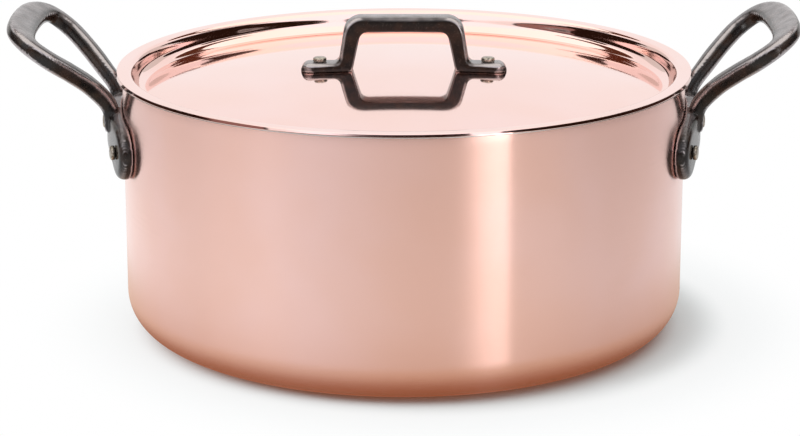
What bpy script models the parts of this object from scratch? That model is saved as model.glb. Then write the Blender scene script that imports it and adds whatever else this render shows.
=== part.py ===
# Lined copper stewpot with two cast-iron loop handles and a lid with a bridge handle.
# Metres, +Z up. The pot stands on z = 0 with its axis on Z, and the side handles lie along X.

import math

import bmesh
import bpy
from mathutils import Matrix, Vector

MM = 0.001

# Pot body: a copper wall with a thin steel cooking surface bonded inside it.
POT_RADIUS = 142 * MM
POT_HEIGHT = 131 * MM
HEEL_RADIUS = 20 * MM
SHELL_THICKNESS = 1.4 * MM
LINING_THICKNESS = 0.3 * MM
BOND_GAP = 0.3 * MM

# Faces that touch on the real pot lie this far apart, and a shank this far from its hole.
FIT_GAP = 0.3 * MM

# Lid: a flat flange on the rim, a step down into the mouth and a domed middle.
LID_OVERHANG = 3 * MM
LID_SHELL_THICKNESS = 1.4 * MM
LID_MOUTH_CLEARANCE = 1.1 * MM
LID_STEP_DEPTH = 11.4 * MM
LID_STEP_SLANT = math.radians(12)
LID_DOME_RISE = 9.5 * MM
LID_NECK_RADIUS = 1.5 * MM
LID_TROUGH_RADIUS = 8 * MM

# Side handle plate: two round lobes and a waist, each with a rivet through its middle.
PLATE_DROP = 26.6 * MM
WAIST_THICKNESS = 8.3 * MM
LOBE_THICKNESS = 6.4 * MM
PLATE_EDGE_ROUND = 4 * MM
WAIST_RADIUS = 12.6 * MM
WAIST_DEPTH = 10.5 * MM
LOBE_RADIUS = 13.8 * MM
LOBE_SPAN = 40 * MM
LOBE_DROP = 6.6 * MM
PLATE_STRIP = 6 * MM

# Side handle loop, one side from the plate to the middle of the grip. Each station gives how far out
# from the wall it lies, its height over the middle rivet, its distance to the side, the tilt of the
# loop's surface over level in degrees, and the bar's width and thickness there.
LOOP_STATIONS = (
    (4.6 * MM, 0.0 * MM, 18.5 * MM, 88, 9 * MM, 7 * MM),
    (5.4 * MM, 12.0 * MM, 20.0 * MM, 72, 9.5 * MM, 8 * MM),
    (13.5 * MM, 23.0 * MM, 25.0 * MM, 48, 9.5 * MM, 8.5 * MM),
    (22.5 * MM, 32.0 * MM, 33.5 * MM, 42, 9.5 * MM, 8.5 * MM),
    (32.0 * MM, 40.0 * MM, 41.0 * MM, 38, 9.5 * MM, 8.5 * MM),
    (41.5 * MM, 47.0 * MM, 40.5 * MM, 33, 11 * MM, 8 * MM),
    (47.3 * MM, 50.3 * MM, 27.5 * MM, 28, 14 * MM, 7.5 * MM),
    (49.2 * MM, 51.0 * MM, 0.0 * MM, 28, 15 * MM, 7.5 * MM),
)
LOOP_STEPS = 5
LOOP_SIDES = 12
LOOP_SQUARENESS = 2.6

# Rivets: a straight button outside and a flat head inside, on one shank.
RIVET_SHANK_RADIUS = 2.5 * MM
RIVET_BUTTON_RADIUS = 3.6 * MM
RIVET_BUTTON_HEIGHT = 2.2 * MM
RIVET_BUTTON_ROUND = 0.6 * MM
RIVET_HEAD_RADIUS = 6 * MM
RIVET_HEAD_HEIGHT = 1.6 * MM
RIVET_HEAD_FLAT = 0.85
LID_RIVET_SHANK_RADIUS = 2.2 * MM
LID_RIVET_BUTTON_RADIUS = 3.4 * MM
LID_RIVET_HEAD_RADIUS = 5 * MM

# Lid handle: a bridge with a foot at each end.
BRIDGE_LENGTH = 104 * MM
BRIDGE_DEPTH = 12.5 * MM
BRIDGE_HEIGHT = 27 * MM
BRIDGE_BAR = 7.5 * MM
BRIDGE_FOOT = 3.2 * MM
BRIDGE_TOP_SPAN = 58.5 * MM
BRIDGE_ROOT_SPAN = 66 * MM
OPENING_TOP_SPAN = 43.5 * MM
OPENING_ROOT_SPAN = 52 * MM
BRIDGE_OUTER_ROUND = 9 * MM
BRIDGE_INNER_ROUND = 4.5 * MM
BRIDGE_ROOT_ROUND = 3.5 * MM
BRIDGE_EDGE_ROUND = 2.4 * MM
LID_RIVET_INSET = 9.5 * MM

# Length of the cutters that drill the rivet holes.
DRILL_LENGTH = 54 * MM

# Facets of the round pieces.
TURN_STEPS = 52
RIVET_STEPS = 12
ARC_STEP = math.radians(22.5)
OUTLINE_STEP = math.radians(15)
DOME_RINGS = 4
CREASE_ANGLE = math.radians(35)
WELD = 1e-6
PLATE_EDGE_FACETS = 3
BRIDGE_EDGE_FACETS = 2
ROUND_BEVEL = 0.5

# Sizes that follow from the ones above.
WALL_THICKNESS = SHELL_THICKNESS + BOND_GAP + LINING_THICKNESS
MOUTH_RADIUS = POT_RADIUS - WALL_THICKNESS
LID_THICKNESS = LINING_THICKNESS + BOND_GAP + LID_SHELL_THICKNESS
LID_SEAT = POT_HEIGHT + FIT_GAP
PLATE_HEIGHT = POT_HEIGHT - PLATE_DROP
PLATE_BACK = POT_RADIUS + FIT_GAP
PLATE_MIDDLE = PLATE_BACK + WAIST_THICKNESS / 2


def clear_scene():
    for obj in list(bpy.data.objects):
        bpy.data.objects.remove(obj, do_unlink=True)


def finish(name, colour, metallic, roughness):
    material = bpy.data.materials.new(name)
    material.use_nodes = True
    shader = material.node_tree.nodes["Principled BSDF"]
    shader.inputs["Base Color"].default_value = (*colour, 1)
    shader.inputs["Metallic"].default_value = metallic
    shader.inputs["Roughness"].default_value = roughness
    return material


def add_object(name, mesh, material):
    obj = bpy.data.objects.new(name, mesh)
    obj.data.materials.clear()
    obj.data.materials.append(material)
    bpy.context.scene.collection.objects.link(obj)
    return obj


def add_helper(name, mesh):
    helper = bpy.data.objects.new(name, mesh)
    helper.hide_render = True
    helper.display_type = "WIRE"
    bpy.context.scene.collection.objects.link(helper)
    return helper


def to_mesh(name, bm):
    bmesh.ops.remove_doubles(bm, verts=bm.verts, dist=WELD)
    bmesh.ops.recalc_face_normals(bm, faces=bm.faces)
    mesh = bpy.data.meshes.new(name)
    bm.to_mesh(mesh)
    bm.free()
    mesh.shade_smooth()
    mesh.set_sharp_from_angle(angle=CREASE_ANGLE)
    return mesh


def arc(centre, radius, start, end, step=ARC_STEP):
    """Points of an arc about a centre, from one angle to another, both ends included."""
    count = max(2, math.ceil(abs(end - start) / step))
    turns = [start + (end - start) * i / count for i in range(count + 1)]
    return [centre + radius * Vector((math.cos(a), math.sin(a))) for a in turns]


def round_corner(before, corner, after, radius):
    """The arc of this radius that touches both sides of a corner."""
    back = (before - corner).normalized()
    ahead = (after - corner).normalized()
    half = back.angle(ahead) / 2
    centre = corner + (back + ahead).normalized() * (radius / math.sin(half))
    start = corner + back * (radius / math.tan(half)) - centre
    end = corner + ahead * (radius / math.tan(half)) - centre
    first = math.atan2(start.y, start.x)
    sweep = math.remainder(math.atan2(end.y, end.x) - first, 2 * math.pi)
    return arc(centre, radius, first, first + sweep)


def offset_line(line, distance):
    """The line moved to its right by a distance, with mitred corners. Its end stays on the axis."""
    rights = []
    for start, end in zip(line, line[1:]):
        along = (end - start).normalized()
        rights.append(Vector((along.y, -along.x)))
    moved = []
    for i, point in enumerate(line):
        right = rights[max(i - 1, 0)] + rights[min(i, len(rights) - 1)]
        if point.x == 0:
            right.x = 0
        right.normalize()
        lean = right.dot(rights[min(i, len(rights) - 1)])
        moved.append(point + right * (distance / lean))
    return moved


def turned_mesh(name, profile, steps):
    """Spins a profile of (radius, height) points, which starts and ends on the Z axis."""
    bm = bmesh.new()
    points = [bm.verts.new((point.x, 0, point.y)) for point in profile]
    edges = [bm.edges.new(pair) for pair in zip(points, points[1:])]
    bmesh.ops.spin(
        bm,
        geom=points + edges,
        cent=(0, 0, 0),
        axis=(0, 0, 1),
        angle=2 * math.pi,
        steps=steps,
        use_merge=True,
    )
    return to_mesh(name, bm)


def layer_profile(line, near, far):
    """The closed section between two offsets of a line that ends on the axis."""
    return list(reversed(offset_line(line, far))) + offset_line(line, near)


def cut(obj, cutter, operation="DIFFERENCE"):
    boolean = obj.modifiers.new(cutter.name, "BOOLEAN")
    boolean.operation = operation
    boolean.solver = "EXACT"
    boolean.object = cutter


def pot_line():
    """The outside of the pot from the rim down the wall, round the heel and in to the axis."""
    heel = arc(Vector((POT_RADIUS - HEEL_RADIUS, HEEL_RADIUS)), HEEL_RADIUS, 0, -math.pi / 2)
    return [Vector((POT_RADIUS, POT_HEIGHT))] + heel + [Vector((0, 0))]


def lid_skirt_foot():
    """Where the underside of the step would meet the underside of the dome without a fillet."""
    radius = MOUTH_RADIUS - LID_MOUTH_CLEARANCE - LID_STEP_DEPTH * math.tan(LID_STEP_SLANT)
    return Vector((radius, LID_SEAT - LID_STEP_DEPTH))


def lid_dome_radius():
    foot = lid_skirt_foot()
    return (foot.x**2 + LID_DOME_RISE**2) / (2 * LID_DOME_RISE)


def lid_under(radius):
    """Height of the underside of the domed middle at a distance from the axis."""
    sphere = lid_dome_radius()
    apex = lid_skirt_foot().y + LID_DOME_RISE
    return apex - sphere + math.sqrt(sphere**2 - radius**2)


def lid_top(radius):
    """Height of the top of the domed middle, which lies on a sphere about the same centre."""
    sphere = lid_dome_radius() + LID_THICKNESS
    apex = lid_skirt_foot().y + LID_DOME_RISE + LID_THICKNESS
    return apex - sphere + math.sqrt(sphere**2 - radius**2)


def lid_line():
    """The underside of the lid from the flange's edge in to the axis."""
    edge = Vector((POT_RADIUS + LID_OVERHANG, LID_SEAT))
    neck = Vector((MOUTH_RADIUS - LID_MOUTH_CLEARANCE, LID_SEAT))
    foot = lid_skirt_foot()
    rings = [foot.x * (DOME_RINGS - i) / DOME_RINGS for i in range(1, DOME_RINGS + 1)]
    dome = [Vector((radius, lid_under(radius))) for radius in rings]
    neck_arc = round_corner(edge, neck, foot, LID_NECK_RADIUS)
    trough_arc = round_corner(neck, foot, dome[0], LID_TROUGH_RADIUS)
    return [edge] + neck_arc + trough_arc + dome


def plate_outline():
    """The outline of a handle plate about its middle rivet, side by height, anticlockwise."""
    lobe = Vector((LOBE_SPAN, -LOBE_DROP))
    # The straight top edge touches the waist's circle and the lobe's.
    lean = math.acos((WAIST_RADIUS - LOBE_RADIUS) / lobe.length)
    touch = math.atan2(lobe.y, lobe.x) + lean
    # The hollow bottom edge is one arc that touches both lobes and passes under the waist.
    drop = WAIST_DEPTH - LOBE_DROP
    hollow = (lobe.x**2 + drop**2 - LOBE_RADIUS**2) / (2 * (LOBE_RADIUS - drop))
    low = Vector((0, -WAIST_DEPTH - hollow))
    meet = math.atan2(lobe.y - low.y, lobe.x)
    half = arc(low, hollow, math.pi / 2, meet, OUTLINE_STEP)
    half += arc(lobe, LOBE_RADIUS, meet - math.pi, touch, OUTLINE_STEP)[1:]
    half += arc(Vector((0, 0)), WAIST_RADIUS, touch, math.pi / 2, OUTLINE_STEP)
    mirrored = [Vector((-point.x, point.y)) for point in reversed(half[1:-1])]
    return half + mirrored


def plate_thickness(side):
    """The plate thins from its waist to its lobes along half a cosine wave."""
    share = min(abs(side) / LOBE_SPAN, 1)
    swell = (1 + math.cos(math.pi * share)) / 2
    return LOBE_THICKNESS + (WAIST_THICKNESS - LOBE_THICKNESS) * swell


def plate_mesh():
    """The plate, rounded on its front edges and then bent round the pot's wall at +X."""
    bm = bmesh.new()
    ring = [bm.verts.new((0, point.x, point.y)) for point in plate_outline()]
    back = bm.faces.new(ring)
    raised = bmesh.ops.extrude_face_region(bm, geom=[back])["geom"]
    front = [part for part in raised if isinstance(part, bmesh.types.BMFace)][0]
    bmesh.ops.translate(bm, verts=front.verts, vec=(WAIST_THICKNESS, 0, 0))
    bmesh.ops.bevel(
        bm,
        geom=list(front.edges),
        offset=PLATE_EDGE_ROUND,
        segments=PLATE_EDGE_FACETS,
        profile=ROUND_BEVEL,
        affect="EDGES",
    )
    reach = LOBE_SPAN + LOBE_RADIUS
    strips = math.ceil(2 * reach / PLATE_STRIP)
    for i in range(1, strips):
        side = -reach + 2 * reach * i / strips
        everything = bm.verts[:] + bm.edges[:] + bm.faces[:]
        bmesh.ops.bisect_plane(bm, geom=everything, plane_co=(0, side, 0), plane_no=(0, 1, 0))
    bmesh.ops.triangulate(bm, faces=bm.faces)
    for vert in bm.verts:
        depth, side, height = vert.co
        turn = side / PLATE_MIDDLE
        radius = PLATE_BACK + depth * plate_thickness(side) / WAIST_THICKNESS
        vert.co = (radius * math.cos(turn), radius * math.sin(turn), PLATE_HEIGHT + height)
    return to_mesh("handle_plate", bm)


def smooth_stations(stations, steps):
    """Catmull-Rom curve through rows of numbers, with this many steps between two rows."""
    rows = []
    last = len(stations) - 1
    for i in range(last):
        a = stations[max(i - 1, 0)]
        b = stations[i]
        c = stations[i + 1]
        d = stations[min(i + 2, last)]
        for step in range(steps):
            s = step / steps
            row = []
            for p, q, r, t in zip(a, b, c, d):
                rise = (r - p) / 2
                fall = (t - q) / 2
                lift = 2 * s**3 - 3 * s**2 + 1
                row.append(lift * q + (1 - lift) * r + (s**3 - 2 * s**2 + s) * rise + (s**3 - s**2) * fall)
            rows.append(row)
    rows.append(list(stations[last]))
    return rows


def bar_section(width, thickness):
    """A rounded bar section: a superellipse, flatter on its faces than an ellipse."""
    points = []
    for i in range(LOOP_SIDES):
        turn = 2 * math.pi * (i + 0.5) / LOOP_SIDES
        across = math.copysign(abs(math.cos(turn)) ** (2 / LOOP_SQUARENESS), math.cos(turn))
        up = math.copysign(abs(math.sin(turn)) ** (2 / LOOP_SQUARENESS), math.sin(turn))
        points.append((across * width / 2, up * thickness / 2))
    return points


def loop_mesh():
    """The loop: one bar whose section is carried along the stations and back on the other side."""
    front = [(out, up, -side, tilt, width, thick) for out, up, side, tilt, width, thick in LOOP_STATIONS]
    rows = smooth_stations(front + list(reversed(LOOP_STATIONS[:-1])), LOOP_STEPS)
    centres = [Vector((POT_RADIUS + row[0], row[2], PLATE_HEIGHT + row[1])) for row in rows]
    bm = bmesh.new()
    rings = []
    for i, row in enumerate(rows):
        along = centres[min(i + 1, len(rows) - 1)] - centres[max(i - 1, 0)]
        tilt = math.radians(row[3])
        across = along.cross(Vector((-math.sin(tilt), 0, math.cos(tilt)))).normalized()
        up = across.cross(along).normalized()
        section = bar_section(row[4], row[5])
        rings.append([bm.verts.new(centres[i] + across * x + up * y) for x, y in section])
    for near, far in zip(rings, rings[1:]):
        for k in range(LOOP_SIDES):
            j = (k + 1) % LOOP_SIDES
            bm.faces.new((near[k], near[j], far[j], far[k]))
    bm.faces.new(rings[0])
    bm.faces.new(rings[-1])
    return to_mesh("handle_loop", bm)


def rivet_mesh(name, sizes):
    """A rivet on the Z axis: its button stands on z = 0 and its head hangs under the grip."""
    shank, button, head, grip = sizes
    top = RIVET_BUTTON_HEIGHT
    profile = [
        Vector((0, -grip - RIVET_HEAD_HEIGHT)),
        Vector((head * RIVET_HEAD_FLAT, -grip - RIVET_HEAD_HEIGHT)),
        Vector((head, -grip - RIVET_HEAD_HEIGHT / 2)),
        Vector((head, -grip)),
        Vector((shank, -grip)),
        Vector((shank, 0)),
        Vector((button, 0)),
    ]
    corner = Vector((button - RIVET_BUTTON_ROUND, top - RIVET_BUTTON_ROUND))
    profile += arc(corner, RIVET_BUTTON_ROUND, 0, math.pi / 2)
    profile.append(Vector((0, top)))
    return turned_mesh(name, profile, RIVET_STEPS)


def handle_rivet_places():
    """Each rivet of a handle: its name, its turn about the pot's axis, its seat's radius and height."""
    swing = LOBE_SPAN / PLATE_MIDDLE
    waist_seat = PLATE_BACK + WAIST_THICKNESS + FIT_GAP
    lobe_seat = PLATE_BACK + plate_thickness(LOBE_SPAN - RIVET_BUTTON_RADIUS) + FIT_GAP
    return (
        ("centre", 0.0, waist_seat, PLATE_HEIGHT),
        ("front", -swing, lobe_seat, PLATE_HEIGHT - LOBE_DROP),
        ("back", swing, lobe_seat, PLATE_HEIGHT - LOBE_DROP),
    )


def radial(turn, radius, height):
    """Puts +Z of a piece outwards along a radius of the pot, at a distance and height."""
    spin = Matrix.Rotation(turn, 4, "Z")
    return spin @ Matrix.Translation((radius, 0, height)) @ Matrix.Rotation(math.pi / 2, 4, "Y")


def drill_mesh(name, places, radius, length):
    """Closed cylinders along +Z of each place, as one cutter."""
    bm = bmesh.new()
    for place in places:
        bmesh.ops.create_cone(
            bm,
            cap_ends=True,
            segments=RIVET_STEPS,
            radius1=radius,
            radius2=radius,
            depth=length,
            matrix=place,
        )
    return to_mesh(name, bm)


def bridge_outline():
    """The front view of the lid handle, as side by height over the lid, anticlockwise."""
    sunk = lid_top(BRIDGE_LENGTH / 2) - lid_top(0) - BRIDGE_FOOT
    under = BRIDGE_HEIGHT - BRIDGE_BAR
    end = Vector((BRIDGE_LENGTH / 2, sunk))
    toe = Vector((BRIDGE_LENGTH / 2, BRIDGE_FOOT))
    root = Vector((BRIDGE_ROOT_SPAN / 2, BRIDGE_FOOT))
    shoulder = Vector((BRIDGE_TOP_SPAN / 2, BRIDGE_HEIGHT))
    middle = Vector((0, BRIDGE_HEIGHT))
    half = [end, toe]
    half += round_corner(toe, root, shoulder, BRIDGE_ROOT_ROUND)
    half += round_corner(root, shoulder, middle, BRIDGE_OUTER_ROUND)
    mirrored = [Vector((-point.x, point.y)) for point in reversed(half)]
    opening = Vector((-OPENING_ROOT_SPAN / 2, sunk))
    corner = Vector((-OPENING_TOP_SPAN / 2, under))
    inner = [opening] + round_corner(opening, corner, Vector((0, under)), BRIDGE_INNER_ROUND)
    return half + mirrored + inner + [Vector((-point.x, point.y)) for point in reversed(inner)]


def bridge_mesh():
    """The front view drawn out along Y, with its edges rounded."""
    bm = bmesh.new()
    base = lid_top(0) + FIT_GAP
    ring = [bm.verts.new((p.x, -BRIDGE_DEPTH / 2, base + p.y)) for p in bridge_outline()]
    face = bm.faces.new(ring)
    raised = bmesh.ops.extrude_face_region(bm, geom=[face])["geom"]
    far = [part for part in raised if isinstance(part, bmesh.types.BMFace)][0]
    bmesh.ops.translate(bm, verts=far.verts, vec=(0, BRIDGE_DEPTH, 0))
    bmesh.ops.bevel(
        bm,
        geom=list(face.edges) + list(far.edges),
        offset=BRIDGE_EDGE_ROUND,
        segments=BRIDGE_EDGE_FACETS,
        profile=ROUND_BEVEL,
        affect="EDGES",
    )
    return to_mesh("lid_handle", bm)


def stadium_mesh():
    """The plan of the lid handle, with its two round ends, as a block to keep the handle inside."""
    radius = BRIDGE_DEPTH / 2
    end = Vector((BRIDGE_LENGTH / 2 - radius, 0))
    outline = arc(end, radius, -math.pi / 2, math.pi / 2)
    outline += arc(-end, radius, math.pi / 2, 3 * math.pi / 2)
    bm = bmesh.new()
    ring = [bm.verts.new((point.x, point.y, lid_skirt_foot().y)) for point in outline]
    raised = bmesh.ops.extrude_face_region(bm, geom=[bm.faces.new(ring)])["geom"]
    top = [part for part in raised if isinstance(part, bmesh.types.BMVert)]
    bmesh.ops.translate(bm, verts=top, vec=(0, 0, LID_STEP_DEPTH + 2 * BRIDGE_HEIGHT))
    return to_mesh("lid_handle_plan", bm)


def seat_mesh():
    """A block whose top is the lid's dome raised by the fit gap, to cut the feet to their seat."""
    reach = BRIDGE_LENGTH
    rings = [reach * i / DOME_RINGS / 2 for i in range(2 * DOME_RINGS + 1)]
    profile = [Vector((radius, lid_top(radius) + FIT_GAP)) for radius in rings]
    profile += [Vector((reach, 0)), Vector((0, 0))]
    return turned_mesh("lid_seat", profile, TURN_STEPS)


clear_scene()

copper = finish("polished_copper", (0.86, 0.52, 0.42), 1.0, 0.22)
steel = finish("steel_lining", (0.66, 0.66, 0.65), 1.0, 0.32)
iron = finish("cast_iron", (0.05, 0.045, 0.043), 0.6, 0.42)
rivet_steel = finish("rivet_steel", (0.62, 0.6, 0.56), 1.0, 0.3)

# Copper and steel layers of the pot and of the lid.
pot_layers = {
    "pot_shell": (0, SHELL_THICKNESS, copper),
    "pot_lining": (SHELL_THICKNESS + BOND_GAP, WALL_THICKNESS, steel),
}
lid_layers = {
    "lid_lining": (0, LINING_THICKNESS, steel),
    "lid_shell": (LINING_THICKNESS + BOND_GAP, LID_THICKNESS, copper),
}
pieces = {}
for line, layers in ((pot_line(), pot_layers), (lid_line(), lid_layers)):
    for name, (near, far, material) in layers.items():
        mesh = turned_mesh(name, layer_profile(line, near, far), TURN_STEPS)
        pieces[name] = add_object(name, mesh, material)

# Side handles with their rivets. The left one is the right one turned half round.
wall_facet = MOUTH_RADIUS * math.cos(math.pi / TURN_STEPS) - FIT_GAP
head_seat = math.sqrt(wall_facet**2 - RIVET_HEAD_RADIUS**2)
drill_radius = RIVET_SHANK_RADIUS + FIT_GAP
drill_places = [radial(turn, seat, height) for _, turn, seat, height in handle_rivet_places()]
handle_drill = drill_mesh("handle_drill", drill_places, drill_radius, DRILL_LENGTH)
plate = plate_mesh()
loop = loop_mesh()
for side, half_turn in (("right", 0.0), ("left", math.pi)):
    turn_round = Matrix.Rotation(half_turn, 4, "Z")
    bar = add_helper("loop_" + side, loop)
    drill = add_helper("handle_drill_" + side, handle_drill)
    handle = add_object("side_handle_" + side, plate.copy(), iron)
    for obj in (bar, drill, handle):
        obj.matrix_world = turn_round
    cut(handle, bar, "UNION")
    for obj in (handle, pieces["pot_shell"], pieces["pot_lining"]):
        cut(obj, drill)
    for place, turn, seat, height in handle_rivet_places():
        name = "handle_rivet_" + side + "_" + place
        sizes = (RIVET_SHANK_RADIUS, RIVET_BUTTON_RADIUS, RIVET_HEAD_RADIUS, seat - head_seat)
        rivet = add_object(name, rivet_mesh(name, sizes), rivet_steel)
        rivet.matrix_world = turn_round @ radial(turn, seat, height)

# Lid handle, cut to the dome under its feet, with its two rivets.
lid_handle = add_object("lid_handle", bridge_mesh(), iron)
cut(lid_handle, add_helper("lid_handle_plan", stadium_mesh()), "INTERSECT")
cut(lid_handle, add_helper("lid_seat", seat_mesh()))
rivet_side = BRIDGE_LENGTH / 2 - LID_RIVET_INSET
foot_top = lid_top(0) + FIT_GAP + BRIDGE_FOOT + FIT_GAP
lid_head_seat = lid_under(rivet_side + LID_RIVET_HEAD_RADIUS) - 2 * FIT_GAP
lid_sizes = (
    LID_RIVET_SHANK_RADIUS,
    LID_RIVET_BUTTON_RADIUS,
    LID_RIVET_HEAD_RADIUS,
    foot_top - lid_head_seat,
)
lid_rivet = rivet_mesh("lid_rivet", lid_sizes)
lid_places = [Matrix.Translation((side, 0, foot_top)) for side in (-rivet_side, rivet_side)]
lid_drill_radius = LID_RIVET_SHANK_RADIUS + FIT_GAP
lid_drill_mesh = drill_mesh("lid_drill", lid_places, lid_drill_radius, DRILL_LENGTH)
lid_drill = add_helper("lid_drill", lid_drill_mesh)
for obj in (lid_handle, pieces["lid_shell"], pieces["lid_lining"]):
    cut(obj, lid_drill)
for side, place in zip(("left", "right"), lid_places):
    rivet = add_object("lid_rivet_" + side, lid_rivet, rivet_steel)
    rivet.matrix_world = place

# The lid's pieces hang on an empty on the pot's axis, so that the lid lifts as one.
lid_root = bpy.data.objects.new("lid", None)
bpy.context.scene.collection.objects.link(lid_root)
for name in ("lid_shell", "lid_lining", "lid_handle", "lid_rivet_left", "lid_rivet_right"):
    bpy.data.objects[name].parent = lid_root
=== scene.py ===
import math

import bpy
import numpy as np
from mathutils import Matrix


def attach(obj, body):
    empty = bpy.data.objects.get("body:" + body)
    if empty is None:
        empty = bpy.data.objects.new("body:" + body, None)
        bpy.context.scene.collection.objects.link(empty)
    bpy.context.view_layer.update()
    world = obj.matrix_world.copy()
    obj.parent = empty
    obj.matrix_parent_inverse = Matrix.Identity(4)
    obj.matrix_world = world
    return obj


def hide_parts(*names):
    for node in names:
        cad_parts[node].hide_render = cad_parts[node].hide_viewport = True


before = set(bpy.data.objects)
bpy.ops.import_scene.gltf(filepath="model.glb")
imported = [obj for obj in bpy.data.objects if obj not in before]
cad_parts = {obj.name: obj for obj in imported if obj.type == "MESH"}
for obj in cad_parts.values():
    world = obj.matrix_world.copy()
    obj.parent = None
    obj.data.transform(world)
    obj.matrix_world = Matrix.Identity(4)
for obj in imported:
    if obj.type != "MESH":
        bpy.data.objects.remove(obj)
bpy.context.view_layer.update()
mm = 0.001

view = {
    "distance": 1331.8 * mm,
    "height": 431.1 * mm,
    "down": 15.86,  # degrees below level
    "sensor": 36,
    "lens": 121.185,
    "sideShift": -0.004875,
    "reach": 30,  # how far the camera sees
}

cameraData = bpy.data.cameras.new("camera")
cameraData.sensor_width = view["sensor"]
cameraData.lens = view["lens"]
cameraData.shift_x = view["sideShift"]
cameraData.clip_end = view["reach"]
camera = bpy.data.objects.new("camera", cameraData)
camera.location = (0, -view["distance"], view["height"])
camera.rotation_euler = (math.radians(90 - view["down"]), 0, 0)
bpy.context.scene.collection.objects.link(camera)
bpy.context.scene.camera = camera
bpy.context.scene.view_settings.view_transform = "Standard"
print("camera set")


# small helpers shared by every piece
def toLinear(hexCode):
    # undoes the sRGB curve
    channels = [int(hexCode[i : i + 2], 16) / 255 for i in (1, 3, 5)]
    return [c / 12.92 if c <= 0.04045 else ((c + 0.055) / 1.055) ** 2.4 for c in channels] + [1.0]


def addNode(tree, kind, settings=None, inputs=None):
    node = tree.nodes.new(kind)
    for key, value in (settings or {}).items():
        setattr(node, key, value)
    for key, value in (inputs or {}).items():
        if isinstance(value, bpy.types.NodeSocket):
            tree.links.new(value, node.inputs[key])
        else:
            node.inputs[key].default_value = value
    return node


def startMaterial(name):
    material = bpy.data.materials.new(name)
    material.use_nodes = True
    return material, material.node_tree, material.node_tree.nodes["Principled BSDF"]


def buildMesh(name, points, faces, material):
    mesh = bpy.data.meshes.new(name)
    mesh.from_pydata(np.asarray(points).tolist(), [], faces)
    mesh.materials.append(material)
    mesh.shade_smooth()
    mesh.validate()
    obj = bpy.data.objects.new(name, mesh)
    bpy.context.scene.collection.objects.link(obj)
    return obj


def gridFaces(rows, columns, closed=False):
    # quads of a grid numbered row by row, its last column joined to its first where it is closed
    i, j = np.meshgrid(np.arange(rows - 1), np.arange(columns if closed else columns - 1), indexing="ij")
    nextJ = (j + 1) % columns
    quads = [i * columns + j, (i + 1) * columns + j, (i + 1) * columns + nextJ, i * columns + nextJ]
    return np.stack(quads, -1).reshape(-1, 4)


def barFaces(rows, sides):
    # a closed section carried along a bar, with one face over each end
    places = np.arange(rows * sides).reshape(rows, sides)
    return gridFaces(rows, sides, closed=True).tolist() + [places[0, ::-1].tolist(), places[-1].tolist()]


def turnedPiece(name, profile, turns, material, place=None):
    # a section of (radius, height) points carried round Z: x = r cos t, y = r sin t, z = h.
    # The section runs from the axis out and back to the axis, so the first and last rows are poles.
    profile = np.asarray(profile, float)
    t = np.arange(turns) * 2 * math.pi / turns
    body = profile[1:-1]
    r = body[:, :1]
    ring = np.stack([r * np.cos(t), r * np.sin(t), np.repeat(body[:, 1:], turns, 1)], -1)
    points = np.vstack([[[0, 0, profile[0, 1]]], ring.reshape(-1, 3), [[0, 0, profile[-1, 1]]]])
    quads = gridFaces(len(body), turns, closed=True) + 1
    last = len(points) - 1
    k = np.arange(turns)
    nextK = (k + 1) % turns
    start = np.stack([np.zeros(turns, int), 1 + k, 1 + nextK], -1)
    base = 1 + (len(body) - 1) * turns
    end = np.stack([np.full(turns, last), base + nextK, base + k], -1)
    faces = start.tolist() + quads.tolist() + end.tolist()
    if place is not None:
        turn, shift = place
        points = points @ np.asarray(turn).T + np.asarray(shift)
    obj = buildMesh(name, points, faces, material)
    faceOutwards(obj)
    return obj


def faceOutwards(obj):
    # the sum of each triangle's corners' triple product is six times the volume, and is negative inside out
    mesh = obj.data
    mesh.calc_loop_triangles()
    co = np.empty(len(mesh.vertices) * 3)
    mesh.vertices.foreach_get("co", co)
    co = co.reshape(-1, 3)
    tri = np.empty(len(mesh.loop_triangles) * 3, int)
    mesh.loop_triangles.foreach_get("vertices", tri)
    a, b, c = np.moveaxis(co[tri.reshape(-1, 3)], 1, 0)
    if np.einsum("ij,ij->i", a, np.cross(b, c)).sum() < 0:
        mesh.flip_normals()


def arcPoints(centre, radius, start, end, count):
    # the centre plus the radius times the cosine and sine of even angles
    a = np.linspace(start, end, count)
    return np.stack([centre[0] + radius * np.cos(a), centre[1] + radius * np.sin(a)], -1)


def softCorner(before, corner, after, radius, count):
    # the arc of this radius that touches both sides of a corner
    before, corner, after = (np.asarray(p, float) for p in (before, corner, after))
    back = (before - corner) / np.linalg.norm(before - corner)
    ahead = (after - corner) / np.linalg.norm(after - corner)
    half = math.acos(np.clip(back @ ahead, -1, 1)) / 2
    centre = corner + (back + ahead) / np.linalg.norm(back + ahead) * radius / math.sin(half)
    start = corner + back * radius / math.tan(half) - centre
    end = corner + ahead * radius / math.tan(half) - centre
    first = math.atan2(start[1], start[0])
    sweep = math.remainder(math.atan2(end[1], end[0]) - first, 2 * math.pi)
    return arcPoints(centre, radius, first, first + sweep, count)


def sideStep(line, distance):
    # the line moved to its right, with mitred corners, its end kept on the axis
    along = np.diff(line, axis=0)
    along /= np.linalg.norm(along, axis=1)[:, None]
    right = np.stack([along[:, 1], -along[:, 0]], -1)
    both = np.vstack([right[:1], right[:-1] + right[1:], right[-1:]])
    onAxis = line[:, 0] < 1e-9
    both[onAxis, 0] = 0
    both /= np.linalg.norm(both, axis=1)[:, None]
    lean = np.einsum("ij,ij->i", both, np.vstack([right[:1], right]))
    return line + both * (distance / lean)[:, None]


edgeSteps = 6  # points round each corner of a sheet's free edge


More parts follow.
